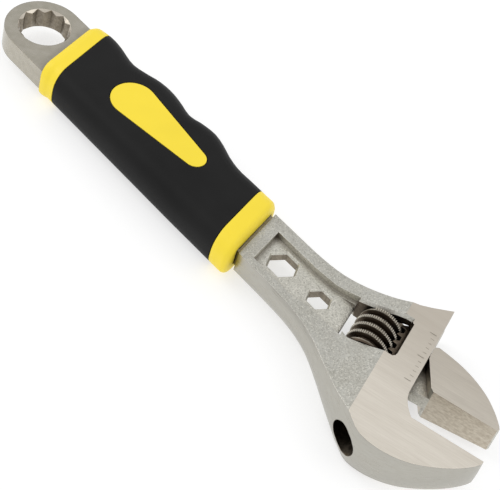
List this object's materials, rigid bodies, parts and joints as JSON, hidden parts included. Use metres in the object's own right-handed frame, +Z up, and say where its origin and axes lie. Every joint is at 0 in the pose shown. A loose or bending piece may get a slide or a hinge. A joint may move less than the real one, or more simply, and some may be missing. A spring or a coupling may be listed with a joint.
{
  "type": "adjustable wrench",
  "caption": "Adjustable wrench with a sliding jaw on a worm and rack, a 12-point ring end, two hex holes in the shank and a two-colour moulded grip.",
  "frame": {"origin": "middle of the bounding box, on the surface that the wrench lies on", "axes": "+X from the ring end to the jaws, +Y towards the side that the movable jaw opens to, +Z up through the thickness"},
  "size_m": [0.2692, 0.0724, 0.0194],
  "materials": {
    "forged_nickel": "satin nickel plate over a forged body, ground bright on the head faces",
    "ground_steel": "ground steel with a satin nickel plate",
    "dark_steel": "dark gunmetal with bright knurled crests",
    "pin_steel": "turned steel",
    "spring_steel": "bright spring wire",
    "yellow_plastic": "satin yellow polypropylene",
    "black_rubber": "satin black soft over-mould"
  },
  "bodies": {
    "wrench": {"wrench_body": "forged_nickel", "grip_core": "yellow_plastic", "grip_cover": "black_rubber", "worm_pin": "pin_steel", "worm_spring": "spring_steel"},
    "sliding_jaw": {"movable_jaw": "ground_steel"},
    "worm": {"worm_knurl": "dark_steel"}
  },
  "joints": [
    {"name": "jaw_slide", "type": "slide", "parent": "wrench", "child": "sliding_jaw", "axis": [-0.342, 0.9397, 0], "range_m": [-0.0149, 0.015]},
    {"name": "worm_turn", "type": "hinge", "parent": "wrench", "child": "worm", "pos_m": [0.07141, 0.00584, 0.0097], "axis": [-0.342, 0.9397, 0], "range_deg": [-1280, 1288]}
  ],
  "couplings": [
    {"joint": "worm_turn", "follows": "jaw_slide", "rad_per_m": 1496}
  ]
}
